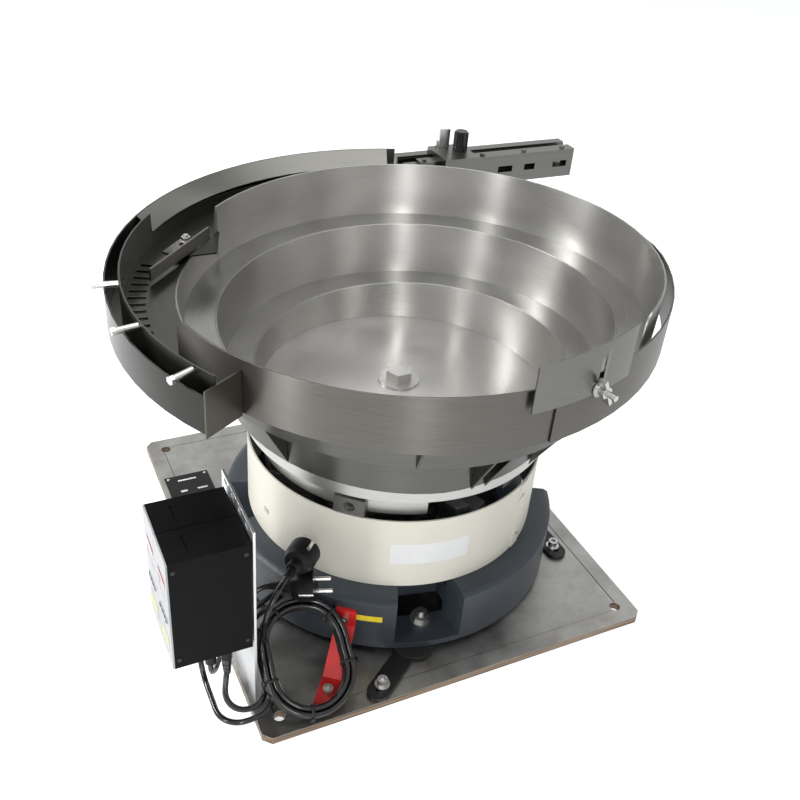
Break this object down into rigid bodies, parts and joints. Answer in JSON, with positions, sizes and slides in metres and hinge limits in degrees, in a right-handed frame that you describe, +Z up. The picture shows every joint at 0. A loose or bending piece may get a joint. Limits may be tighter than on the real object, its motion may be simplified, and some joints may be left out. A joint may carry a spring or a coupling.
{
  "type": "vibratory bowl feeder",
  "caption": "Vibratory bowl feeder: stepped spiral steel bowl on leaf springs over a round magnet drive, on a base plate with controllers, mains leads and an outlet rail.",
  "frame": {"origin": "the bowl's drive axis where it meets the underside of the base plate", "axes": "+Z up the drive axis, +X to the right along the front edge of the base plate, +Y to the back"},
  "size_m": [0.7512, 0.6479, 0.4693],
  "materials": {
    "plate_steel": "ground, slightly stained",
    "black_rubber": "matt",
    "black_steel": "satin black",
    "zinc_steel": "zinc plated",
    "dark_grey_paint": "hammered paint",
    "cream_paint": "powder coat",
    "core_steel": "laminated steel",
    "copper_winding": "varnished winding",
    "red_paint": "gloss red",
    "black_label": "satin",
    "bare_aluminium": "milled",
    "black_plastic": "moulded",
    "panel_grey": "satin",
    "stainless": "glass blasted and worn",
    "rail_steel": "ground"
  },
  "bodies": {
    "drive": {"base_plate": "plate_steel", "rubber_feet": "black_rubber", "foot_clamps": "black_steel", "clamp_bolts": "zinc_steel", "drive_casting": "dark_grey_paint", "pocket_bolts": "zinc_steel", "shroud": "cream_paint", "shroud_screws": "zinc_steel", "spring_packs": "black_steel", "spring_feet": "dark_grey_paint", "magnet_core": "core_steel", "magnet_coil": "copper_winding", "transport_bracket": "red_paint", "transport_bolts": "zinc_steel", "data_plate": "black_label", "controller_bracket": "bare_aluminium", "controller_near": "black_plastic", "controller_far": "black_plastic", "control_panels": "panel_grey", "cable_glands": "black_plastic", "mains_lead_near": "black_rubber", "mains_lead_far": "black_rubber", "mains_coil": "black_rubber", "coil_ties": "black_plastic", "output_leads": "black_rubber", "mains_plug_upper": "black_plastic", "mains_plug_lower": "black_plastic"},
    "bowl": {"top_plate": "bare_aluminium", "spring_heads": "bare_aluminium", "armature": "core_steel", "bowl_clamps": "bare_aluminium", "clamp_screws": "zinc_steel", "bowl_floor": "stainless", "centre_bolt": "zinc_steel", "inner_wall": "stainless", "middle_wall": "stainless", "outer_wall": "stainless", "bowl_track": "stainless", "front_band": "stainless", "right_band": "stainless", "bowl_gussets": "stainless", "outlet_track": "stainless", "guide_wall": "stainless", "pan_floor": "stainless", "pan_wall": "stainless", "pan_end_plate": "stainless", "back_guard": "stainless", "guide_standoffs": "zinc_steel", "wiper_bar": "stainless", "wiper_post": "zinc_steel", "deflector_plate": "stainless", "outlet_rail": "rail_steel", "rail_cover": "rail_steel", "rail_strap": "rail_steel", "rail_clamp": "bare_aluminium", "rail_pointer": "bare_aluminium", "gate_stud": "zinc_steel"},
    "gate": {"gate_plate": "stainless"},
    "gate_nut": {"gate_nut": "zinc_steel"},
    "rail_knob": {"rail_knob": "black_plastic"}
  },
  "joints": [
    {"name": "bowl_vibration", "type": "hinge", "parent": "drive", "child": "bowl", "pos_m": [0, 0, 0.2], "axis": [0, 0, 1], "range_deg": [-0.15, 0.15], "stiffness_Nm_per_rad": 8000},
    {"name": "gate_slide", "type": "slide", "parent": "bowl", "child": "gate", "axis": [0, 0, 1], "range_m": [-0.02, 0]},
    {"name": "gate_nut_turn", "type": "hinge", "parent": "bowl", "child": "gate_nut", "pos_m": [0.06237, -0.29344, 0.414], "axis": [0.2079, -0.9781, 0], "continuous": true},
    {"name": "rail_knob_turn", "type": "hinge", "parent": "bowl", "child": "rail_knob", "pos_m": [0.224, 0.2995, 0.42], "axis": [0, 0, 1], "continuous": true}
  ]
}
